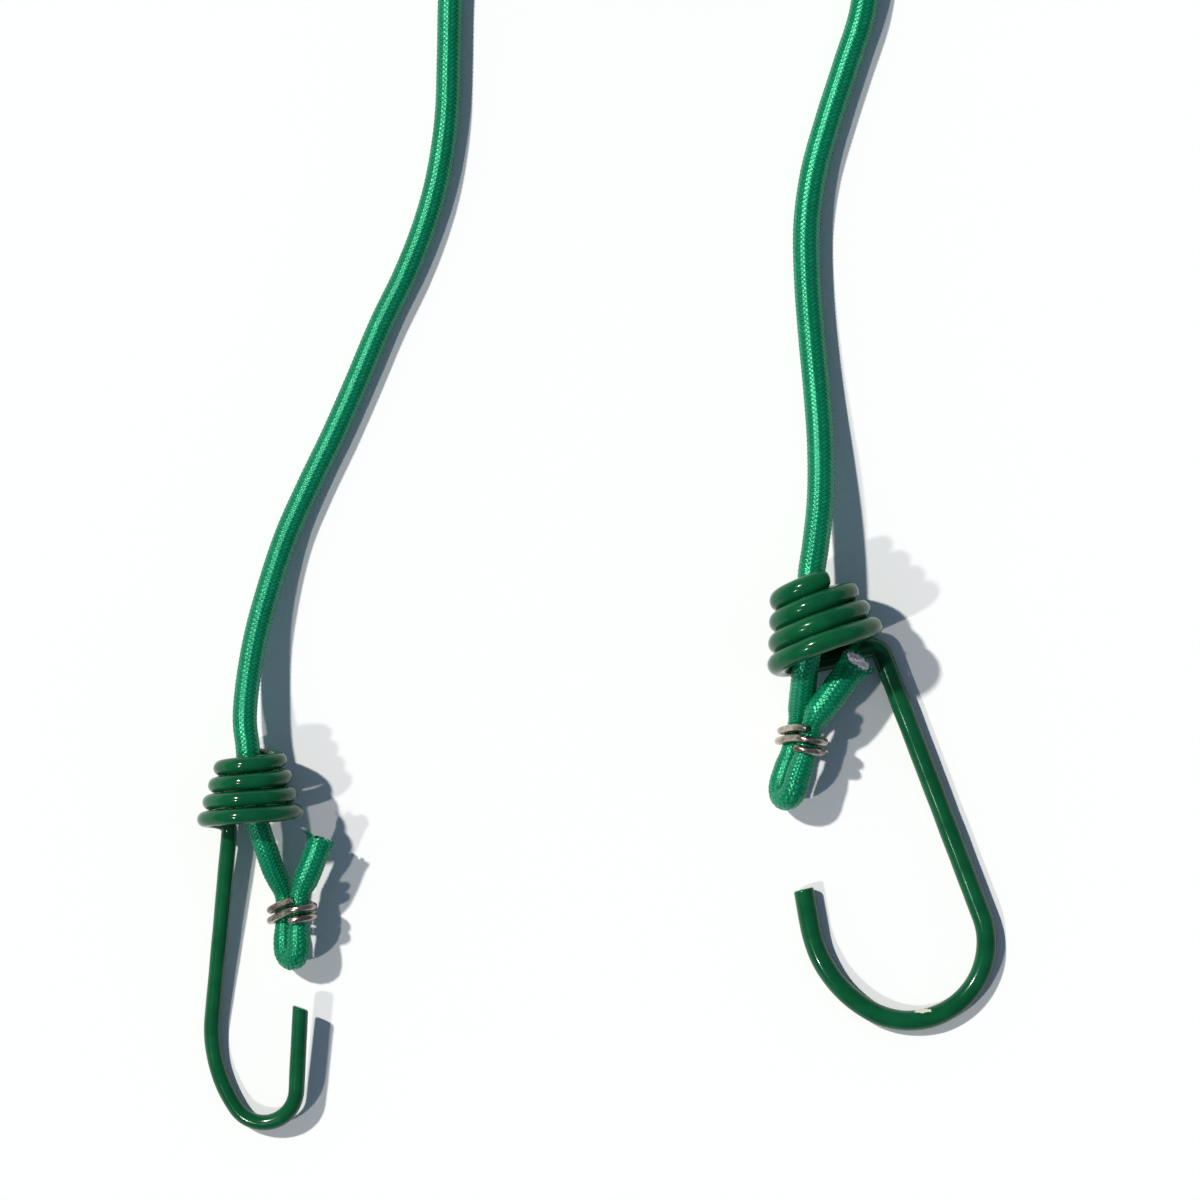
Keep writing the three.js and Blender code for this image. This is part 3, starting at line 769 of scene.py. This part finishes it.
def rubberStrands(name, cord, line, gone, girth):
    ahead, side, up = framesOn(line)
    bore = girth[-1] - braid["depth"] - sheath["thickness"] * sheath["boreShare"]
    step = rubber["strand"] * rubber["step"]
    rng = np.random.default_rng(cord["seed"] + 20)
    rise = unit(np.array((0, 0, 1.0)) - ahead[-1] * ahead[-1][2])
    points, faces, offset = [], [], 0
    rows = int(bore / step) + 1
    spacing = gone[1] - gone[0]
    first = len(line) - int(rubber["length"] / spacing)
    stations = np.arange(first, len(line), rubber["ringEvery"])
    slideShare = easeStep(np.arange(len(stations)), 0, len(stations) - 1)[:, None]
    angle = 2 * np.pi * np.arange(rubber["sides"]) / rubber["sides"]
    cosine, sine = np.cos(angle)[None, :, None], np.sin(angle)[None, :, None]
    sweep = np.linspace(0, np.pi / 2, rubber["domeRings"] + 1)[1:]
    for row in range(-rows, rows + 1):
        for place in range(-rows, rows + 1):
            a = (place + 0.5 * (row % 2)) * step
            b = row * step * math.sqrt(3) / 2
            if math.hypot(a, b) > bore - rubber["strand"] / 2:
                continue
            own = rng.uniform(*rubber["standsOut"]) * rubber["strand"]
            thick = rubber["strand"] / 2 * rng.uniform(*rubber["thickness"])
            centre = line[stations] + a * side[stations] + b * up[stations]
            lift = (centre[-1] - line[-1]) @ rise
            proud = cord["coreProud"] * easeStep(lift, -bore, bore)
            slide = own + proud - math.tan(math.radians(cord["cutSlant"])) * lift
            centre = centre + slideShare * slide * ahead[-1]
            crown = centre[-1] + np.outer(np.sin(sweep) * thick * rubber["dome"], ahead[-1])
            centre = np.vstack([centre, crown])
            sideHere = np.vstack([side[stations], np.repeat(side[-1:], len(sweep), 0)])
            upHere = np.vstack([up[stations], np.repeat(up[-1:], len(sweep), 0)])
            reach = np.concatenate([np.full(len(stations), thick), thick * np.maximum(np.cos(sweep), 0.05)])
            out = cosine * sideHere[:, None] + sine * upHere[:, None]
            ring = centre[:, None] + reach[:, None, None] * out
            points.append(np.vstack([ring.reshape(-1, 3), centre[:1], centre[-1:]]))
            quads, fans = ringFaces(len(centre), rubber["sides"], offset)
            faces += [*quads, *fans]
            offset += len(points[-1])
    return meshObject(name, flattenEnd(np.vstack(points), cord, line[-1], ahead[-1]), faces)


rubberCore = rubberMaterial()
for sideName, cord in (("left", leftCord), ("right", rightCord)):
    piece, line, gone = foldedEnd(sideName + "End", cord)
    piece.data.materials.append(cordBraid)
    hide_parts(sideName + "_end_sheath")
    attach(piece, sideName + "_end")
    strands = rubberStrands(sideName + "RubberStrands", cord, line, gone, endGirth(cord, line, gone))
    strands.data.materials.append(rubberCore)
    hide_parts(sideName + "_end_core")
    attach(strands, sideName + "_end")
    ahead = unit(line[-1] - line[-2])
    loose = frayedStrands(sideName + "Frays", cord, line[-1], ahead, endGirth(cord, line, gone)[-1])
    loose.data.materials.append(cordBraid)
    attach(loose, sideName + "_end")
print("folded ends made")


# Hooks
leftHook = {
    "x": -86.24 * millimetre,
    "y": 7.1 * millimetre,
    "lean": 0,
    "pitch": -0.3,
    "roll": -47,
    "cord": leftCord["diameter"],
    "wire": 4.0 * millimetre,
    "boreSlack": 1.4 * millimetre,
    "coilFlare": 5.3 * millimetre,
    "coilPitch": 4.25 * millimetre,
    "coilStart": -135,
    "easeAngle": 40,
    "shankStart": 2.6 * millimetre,
    "shankOffset": 8.33 * millimetre,
    "shankDrop": 0,
    "bendTwist": 33,                   # the bend's plane, turned and dipped from the coil's axis
    "bendDip": 3.81,
    "shankSplay": 6.39,
    "shankLength": 46.53 * millimetre,
    "heelRadius": 34.0 * millimetre,
    "heelAngle": 40.2,
    "noseRadius": 8.66 * millimetre,
    "noseAngle": 142.3,
    "tipLength": 20.85 * millimetre,
    "tipSlant": -16,                   # the cut of the tip, seen from above
    "seed": 3,
}
rightHook = {
    "x": 58.06 * millimetre,
    "y": 47.4 * millimetre,
    "lean": 16,
    "pitch": -5,
    "roll": 180,
    "cord": rightCord["diameter"],
    "wire": 5.1 * millimetre,
    "boreSlack": 1.6 * millimetre,
    "coilFlare": 6.3 * millimetre,
    "coilPitch": 5.05 * millimetre,
    "coilStart": -125,
    "easeAngle": 86,
    "shankStart": 1.8 * millimetre,
    "shankOffset": 12.97 * millimetre,
    "shankDrop": 13.75 * millimetre,
    "bendTwist": 0,
    "bendDip": -5,
    "shankSplay": 4.86,
    "shankLength": 68.95 * millimetre,
    "heelRadius": 19.48 * millimetre,
    "heelAngle": 139.5,
    "noseRadius": 30.18 * millimetre,
    "noseAngle": 51.2,
    "tipLength": 9.45 * millimetre,
    "tipSlant": 4,
    "seed": 4,
}
hookShape = {
    "coilEnd": 1260,
    "easeHandle": 0.42,
    "sides": 28,
    "spacing": 0.6 * millimetre,
    "coilPoints": 500,
    "easePoints": 40,
    "bendPoints": 40,
    "capRings": 6,
    "unevenness": 0.02,                # share of the radius that the dipped coat varies by
    "waves": (11 * millimetre, 17 * millimetre, 43 * millimetre),
    "tipRounding": 0.55 * millimetre,
    "coilRounding": 1.1 * millimetre,
}
coat = {
    "light": (0.0045, 0.100, 0.036),
    "dark": (0.0025, 0.074, 0.025),
    "scuff": (0.10, 0.26, 0.16),
    "chip": (0.72, 0.68, 0.55),
    "chipAt": (81.25 * millimetre, -40.25 * millimetre, 3.7 * millimetre),
    "chipSize": (2.7 * millimetre, 0.75 * millimetre, 1.5 * millimetre),
    "chipScale": 900.0,
    "chipRagged": 1.4,
    "chipEdge": (1.5, 1.62),
    "cloudScale": 140.0,
    "fineScale": 1600.0,
    "fineShare": 0.15,
    "speckScale": 1100.0,
    "speckFrom": (0.69, 0.76),
    "speckStrength": 0.4,
    "bumpHeight": 0.1 * millimetre,
    "bumpStrength": 0.35,
    "roughness": 0.10,
    "roughnessSpan": 0.08,
    "wornRoughness": 0.4,
    "shine": 0.25,
}


def hookLine(hook):                    # coil axis along Y with its narrow end up, then the bend
    plane = Matrix.Rotation(math.radians(hook["bendTwist"]), 3, "Y")
    plane = np.array(plane @ Matrix.Rotation(math.radians(hook["bendDip"]), 3, "X"))

    def way(heading):
        return plane @ np.array((math.sin(heading), -math.cos(heading), 0))

    first, last = hook["coilStart"], hookShape["coilEnd"]
    narrow = hook["cord"] / 2 + hook["boreSlack"] + hook["wire"] / 2

    def coilPoint(angle):
        radius = narrow + hook["coilFlare"] * (angle - first) / (last - first)
        turn = np.radians(angle)
        height = hook["coilPitch"] * (last - angle) / 360
        return np.stack([radius * np.cos(turn), height, radius * np.sin(turn)], -1)

    leaveAngle = last - hook["easeAngle"]
    coil = coilPoint(np.linspace(first, leaveAngle, hookShape["coilPoints"]))
    heading = math.radians(-hook["shankSplay"])
    leave = coil[-1]
    leaveWay = unit(coilPoint(leaveAngle + 1) - coilPoint(leaveAngle - 1))
    top = np.array((-hook["shankOffset"], -hook["shankStart"], hook["shankDrop"]))
    handle = hookShape["easeHandle"] * np.linalg.norm(top - leave)
    a, b, c, d = leave, leave + leaveWay * handle, top - way(heading) * handle, top
    w = np.linspace(0, 1, hookShape["easePoints"])[1:, None]
    ease = a * (1 - w) ** 3 + 3 * b * w * (1 - w) ** 2 + 3 * c * w**2 * (1 - w) + d * w**3

    bends = [(hook["shankLength"], 0), (hook["heelRadius"], hook["heelAngle"])]
    bends += [(hook["noseRadius"], hook["noseAngle"]), (hook["tipLength"], 0)]
    cursor, rest = top, []
    steps = hookShape["bendPoints"]
    for size, degrees in bends:
        turn = math.radians(degrees) / steps
        stride = 2 * size * math.sin(turn / 2) if degrees else size / steps
        for _ in range(steps):
            heading += turn / 2
            cursor = cursor + stride * way(heading)
            heading += turn / 2
            rest.append(cursor)
    return np.vstack([coil, ease, rest])


def makeHook(name, hook):
    line, gone = evenSteps(hookLine(hook), hookShape["spacing"])
    turn = Matrix.Rotation(math.radians(hook["lean"]), 3, "Z")
    turn = turn @ Matrix.Rotation(math.radians(hook["pitch"]), 3, "X")
    turn = turn @ Matrix.Rotation(math.radians(hook["roll"]), 3, "Y")
    line = line @ np.array(turn).T
    radius = hook["wire"] / 2
    line += np.array((hook["x"], hook["y"], radius - line[:, 2].min()))

    # rounded ends, and a coat that is a little uneven along the wire
    rng = np.random.default_rng(hook["seed"])
    waves = [np.sin(gone * 2 * np.pi / wave + rng.uniform(0, 6.3)) for wave in hookShape["waves"]]
    waves = np.mean(waves, axis=0)
    reach = radius * (1 + hookShape["unevenness"] * waves)
    ahead, side, up = framesOn(line)
    rounding = [(0, hookShape["coilRounding"]), (-1, hookShape["tipRounding"])]
    caps = {}
    for end, size in rounding:
        sweep = np.linspace(0, np.pi / 2, hookShape["capRings"] + 1)[1:]
        back = -ahead[0] if end == 0 else ahead[-1]
        capLine = line[end] + np.outer(np.sin(sweep) * size - size, back)
        caps[end] = (capLine, reach[end] - size + size * np.cos(sweep))
    inset = [int(size / hookShape["spacing"]) + 1 for _, size in rounding]
    body = slice(inset[0], len(line) - inset[1])
    centres = np.vstack([caps[0][0][::-1], line[body], caps[-1][0]])
    sides = hookShape["sides"]
    n0, n1 = len(caps[0][0]), len(caps[-1][0])
    sideAll = np.vstack([np.repeat(side[:1], n0, 0), side[body], np.repeat(side[-1:], n1, 0)])
    upAll = np.vstack([np.repeat(up[:1], n0, 0), up[body], np.repeat(up[-1:], n1, 0)])
    reachAll = np.concatenate([caps[0][1][::-1], reach[body], caps[-1][1]])
    along = np.linspace(0, 1, len(centres))
    piece = ringSkin(name, centres, sideAll, upAll, np.repeat(reachAll[:, None], sides, 1), along)
    right = endAxes(ahead[-1])[1]
    slope = math.tan(math.radians(hook["tipSlant"]))
    shearEnd(piece, line[-1], ahead[-1], radius, 2 * hook["wire"], lambda across: slope * (across @ right))
    return piece


def coatMaterial():
    material, tree, shader = newMaterial("hookCoat")
    cloud = noise(tree, coat["cloudScale"], 3.0)
    fine = noise(tree, coat["fineScale"], 3.0)
    colour = mixColours(tree, ramp(tree, cloud, 0.3, 0.7), coat["dark"], coat["light"])
    where = tree.nodes.new("ShaderNodeTexCoord")
    place = tree.nodes.new("ShaderNodeMapping")
    place.vector_type = "TEXTURE"
    place.inputs["Location"].default_value = coat["chipAt"]
    place.inputs["Scale"].default_value = coat["chipSize"]
    far = tree.nodes.new("ShaderNodeVectorMath")
    far.operation = "LENGTH"
    tree.links.new(where.outputs["Object"], place.inputs["Vector"])
    tree.links.new(place.outputs["Vector"], far.inputs[0])
    ragged = noise(tree, coat["chipScale"], 4.0)
    edge = calc(tree, "MULTIPLY_ADD", ragged, coat["chipRagged"], far.outputs["Value"])
    chip = ramp(tree, edge, *coat["chipEdge"], 1.0, 0.0)
    specks = noise(tree, coat["speckScale"], 6.0, 0.7, shift=(3, 1, 2))
    specks = ramp(tree, specks, *coat["speckFrom"], 0.0, coat["speckStrength"])
    colour = mixColours(tree, specks, colour, coat["scuff"])
    colour = mixColours(tree, chip, colour, coat["chip"])
    tree.links.new(colour, shader.inputs["Base Color"])
    rough = ramp(tree, cloud, 0.25, 0.75, coat["roughness"], coat["roughness"] + coat["roughnessSpan"])
    worn = calc(tree, "MAXIMUM", chip, specks)
    rough = calc(tree, "MULTIPLY_ADD", worn, coat["wornRoughness"], rough)
    tree.links.new(rough, shader.inputs["Roughness"])
    shader.inputs["Specular IOR Level"].default_value = coat["shine"]
    relief = calc(tree, "MULTIPLY_ADD", fine, coat["fineShare"], cloud)
    bump(tree, shader, relief, coat["bumpHeight"], coat["bumpStrength"])
    return material


steel = {
    "cloudScale": 260.0,
    "roughnessSpan": (-0.08, 0.12),
    "streakHeight": 0.05 * millimetre,
    "streakBump": 0.5,
}
hookFinish = {"light": (0.56, 0.55, 0.53), "dark": (0.40, 0.39, 0.37), "roughness": 0.3, "grain": 1500.0}


def steelMaterial(name, finish):
    material, tree, shader = newMaterial(name)
    cloud = noise(tree, steel["cloudScale"], 5.0, 0.65)
    streak = noise(tree, finish["grain"], 4.0, 0.6, stretch=(1, 1, 4))
    colour = mixColours(tree, ramp(tree, cloud, 0.32, 0.66), finish["dark"], finish["light"])
    tree.links.new(colour, shader.inputs["Base Color"])
    smooth, dull = (finish["roughness"] + change for change in steel["roughnessSpan"])
    tree.links.new(ramp(tree, streak, 0.3, 0.7, smooth, dull), shader.inputs["Roughness"])
    shader.inputs["Metallic"].default_value = 1.0
    bump(tree, shader, streak, steel["streakHeight"], steel["streakBump"])
    return material


hookCoat = coatMaterial()
hookSteel = steelMaterial("hookSteel", hookFinish)
for sideName, hook in (("left", leftHook), ("right", rightHook)):
    piece = makeHook(sideName + "Hook", hook)
    piece.data.materials.append(hookCoat)
    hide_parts(sideName + "_hook_coat")
    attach(piece, sideName + "_hook")
    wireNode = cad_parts[sideName + "_hook_wire"]
    wireNode.data.materials.clear()
    wireNode.data.materials.append(hookSteel)
print("hooks made")


# Clips
clipFinish = {"light": (0.56, 0.49, 0.41), "dark": (0.17, 0.14, 0.11), "roughness": 0.25, "grain": 2200.0}
leftClip = {"lean": 0, "leftTilt": 25, "rightTilt": 0, "kinkAt": 0, "from": 115, "to": 122}
rightClip = {"lean": -14, "leftTilt": 26, "rightTilt": -4, "kinkAt": -2 * millimetre, "from": 104, "to": 130}


def makeClip(name, cord, place):       # two turns round both limbs, kinked where the pliers closed them
    leg = np.array(cord["end"][cord["legPoint"]])
    tail = np.array(cord["end"][cord["tailPoint"]])
    lean = math.radians(place["lean"])
    along = np.array((math.sin(lean), -math.cos(lean), 0))
    across = np.array((math.cos(lean), math.sin(lean), 0))
    upward = np.array((0, 0, 1.0))
    half = np.array(((tail - leg) @ across, (tail - leg) @ upward)) / 2
    limbAngle = math.atan2(half[1], half[0])
    wrap = cord["diameter"] / 2 * sheath["squeeze"] + clip["seatGap"] + clip["wire"] / 2
    degrees = np.linspace(place["from"], 720 + place["to"], clip["points"])
    angle = np.radians(degrees)
    limb = np.hypot(*half) * np.tanh(clip["cornerSharpness"] * np.cos(angle - limbAngle))
    acrossAt = limb * math.cos(limbAngle) + wrap * np.cos(angle)
    upAt = limb * math.sin(limbAngle) + wrap * np.sin(angle)
    leftSlope, rightSlope = (math.tan(math.radians(place[key])) for key in ("leftTilt", "rightTilt"))
    fromKink = (acrossAt - place["kinkAt"]) / clip["kinkEase"]
    toLeft = -clip["kinkEase"] * np.logaddexp(0, -fromKink)
    rise = rightSlope * acrossAt + (leftSlope - rightSlope) * toLeft
    middle = (degrees[0] + degrees[-1]) / 2
    alongAt = clip["pitch"] * (degrees - middle) / 360 - rise
    line = (leg + tail) / 2 + np.outer(acrossAt, across) + np.outer(upAt, upward) + np.outer(alongAt, along)
    line = evenSteps(line, clip["spacing"])[0]
    _, side, up = framesOn(line)
    reach = np.full(len(line), clip["wire"] / 2)
    reach[[0, -1]] -= clip["rounding"]
    return ringSkin(name, line, side, up, np.repeat(reach[:, None], clip["sides"], 1))


clipSteel = steelMaterial("clipSteel", clipFinish)
for sideName, cord, place in (("left", leftCord, leftClip), ("right", rightCord, rightClip)):
    piece = makeClip(sideName + "Clip", cord, place)
    piece.data.materials.append(clipSteel)
    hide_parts(sideName + "_clip")
    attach(piece, sideName + "_end")
print("clips made")


# Tie round the stored coil
tie = {
    "thickness": 0.8 * millimetre,
    "corner": 3.8 * millimetre,
    "bevel": 0.18 * millimetre,
    "tabLength": 17 * millimetre,
    "tabWidth": 0.94,                  # of the band's width
    "tipWidth": 0.8 * millimetre,
    "spacing": 0.4 * millimetre,
    "cornerPoints": 9,
    "ribSpacing": 0.7 * millimetre,
    "ribHeight": 0.08 * millimetre,
    "ribBump": 0.6,
    "ribShade": 0.2,
    "cloudScale": 500.0,
    "roughness": (0.5, 0.7),
    "colour": (0.021, 0.025, 0.023),
    "light": (0.045, 0.052, 0.048),
}


def bandLoop(low, high, corner):       # rounded rectangle in the YZ plane, from the middle of the top
    turns = [(high[1] - corner, high[2] - corner, 90, 0), (high[1] - corner, low[2] + corner, 0, -90)]
    turns += [(low[1] + corner, low[2] + corner, -90, -180), (low[1] + corner, high[2] - corner, 180, 90)]
    points = [((low[1] + high[1]) / 2, high[2])]
    for y, z, first, last in turns:
        for angle in np.radians(np.linspace(first, last, tie["cornerPoints"])):
            points.append((y + corner * math.cos(angle), z + corner * math.sin(angle)))
    return np.array([*points, points[0]])


def bandStrip(loop, width, thickness, x, endRounding):      # a flat band along a line, inner side on it
    line = np.column_stack([np.full(len(loop), x), loop])
    line, gone = evenSteps(line, tie["spacing"])
    ahead = unit(np.gradient(line, axis=0))
    outward = np.cross(ahead, (1.0, 0, 0)) * -1
    bevel = tie["bevel"]
    points = []
    for k in range(len(line)):
        half = width / 2
        if endRounding:
            left = gone[-1] - gone[k]
            if left < half:
                half = math.sqrt(max(half**2 - (half - left) ** 2, (tie["tipWidth"] / 2) ** 2))
        section = [(-half, bevel), (-half, thickness - bevel), (-half + bevel, thickness)]
        section += [(half - bevel, thickness), (half, thickness - bevel), (half, bevel)]
        section += [(half - bevel, 0), (-half + bevel, 0)]
        for a, b in section:
            points.append(line[k] + a * np.array((1.0, 0, 0)) + b * outward[k])
    return np.array(points), len(line), 8


def makeTie():
    low, high = (np.array(corner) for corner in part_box("coil_tie"))
    width, x = high[0] - low[0], (high[0] + low[0]) / 2
    inset = np.array((0, tie["thickness"], tie["thickness"]))
    inner = bandLoop(low + inset, high - inset, tie["corner"] - tie["thickness"])
    tabLine = bandLoop(low, high, tie["corner"])
    gone = np.concatenate([[0], np.cumsum(np.linalg.norm(np.diff(tabLine, axis=0), axis=1))])
    want = np.linspace(0, tie["tabLength"], 30)
    tab = np.stack([np.interp(want, gone, tabLine[:, k]) for k in range(2)], 1)
    points, faces, offset = [], [], 0
    for loop, rounded in ((inner, False), (tab, True)):
        share = tie["tabWidth"] if rounded else 1
        strip, rings, sides = bandStrip(loop, width * share, tie["thickness"], x, rounded)
        ends = [strip[:sides].mean(0), strip[-sides:].mean(0)]
        points.append(np.vstack([strip, ends]))
        quads, fans = ringFaces(rings, sides, offset)
        faces += [*quads, *fans]
        offset += len(points[-1])
    return meshObject("coilTie", np.vstack(points), faces)


def tieMaterial():
    material, tree, shader = newMaterial("tieBand")
    where = tree.nodes.new("ShaderNodeTexCoord")
    split = tree.nodes.new("ShaderNodeSeparateXYZ")
    tree.links.new(where.outputs["Object"], split.inputs[0])
    ribRate = 2 * math.pi / tie["ribSpacing"]
    ribs = [calc(tree, "SINE", calc(tree, "MULTIPLY", axis, ribRate)) for axis in split.outputs]
    weave = calc(tree, "MULTIPLY", ribs[0], calc(tree, "ADD", ribs[1], ribs[2]))
    cloud = noise(tree, tie["cloudScale"], 4.0)
    shade = calc(tree, "MULTIPLY_ADD", weave, tie["ribShade"], cloud)
    colour = mixColours(tree, ramp(tree, shade, 0.2, 0.8), tie["colour"], tie["light"])
    tree.links.new(colour, shader.inputs["Base Color"])
    tree.links.new(ramp(tree, cloud, 0.3, 0.7, *tie["roughness"]), shader.inputs["Roughness"])
    bump(tree, shader, weave, tie["ribHeight"], tie["ribBump"])
    return material


tiePiece = makeTie()
tiePiece.data.materials.append(tieMaterial())
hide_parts("coil_tie")
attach(tiePiece, "cord")
print("tie made")
# Floor and light
studio = {
    "floor": (0.99, 0.99, 0.98),
    "floorRoughness": 0.9,
    "floorSize": 60.0,
    "floorDrop": 0.1 * millimetre,
    "suns": {                         # where each lamp shines from, and how strongly
        "mainSun": ((-0.71, 0.43, 1.0), 2.72),
        "lesserSun": ((-0.70, -0.39, 1.0), 0.95),
    },
    "sunColour": (1.0, 0.975, 0.93),
    "sunSpread": 2.5,
    "haze": (0.34, 0.37, 0.41),       # near the horizon
    "sky": (0.09, 0.125, 0.18),
    "hazeTop": (0.03, 0.30),          # heights between which the haze thins out
}


def makeFloor():
    half = studio["floorSize"] / 2
    points = [(-half, -half, 0), (half, -half, 0), (half, half, 0), (-half, half, 0)]
    floor = meshObject("floor", np.array(points), [np.array((0, 1, 2, 3))])
    floor.location.z = -studio["floorDrop"]
    material, _, shader = newMaterial("floorPaper")
    shader.inputs["Base Color"].default_value = (*studio["floor"], 1)
    shader.inputs["Roughness"].default_value = studio["floorRoughness"]
    shader.inputs["Specular IOR Level"].default_value = 0.0
    floor.data.materials.append(material)


def makeStudio():
    makeFloor()
    for name, (source, strength) in studio["suns"].items():
        lamp = bpy.data.lights.new(name, "SUN")
        lamp.energy = strength
        lamp.color = studio["sunColour"]
        lamp.angle = math.radians(studio["sunSpread"])
        sun = bpy.data.objects.new(lamp.name, lamp)
        sun.rotation_mode = "QUATERNION"
        sun.rotation_quaternion = (-Vector(source)).to_track_quat("-Z", "Y")
        bpy.context.scene.collection.objects.link(sun)
    world = bpy.data.worlds.new("studioWorld")
    world.use_nodes = True
    tree = world.node_tree
    where = tree.nodes.new("ShaderNodeTexCoord")
    split = tree.nodes.new("ShaderNodeSeparateXYZ")
    tree.links.new(where.outputs["Generated"], split.inputs[0])
    height = ramp(tree, split.outputs[2], *studio["hazeTop"])
    glow = mixColours(tree, height, studio["haze"], studio["sky"])
    tree.links.new(glow, tree.nodes["Background"].inputs["Color"])
    bpy.context.scene.world = world


makeStudio()
print("studio made")
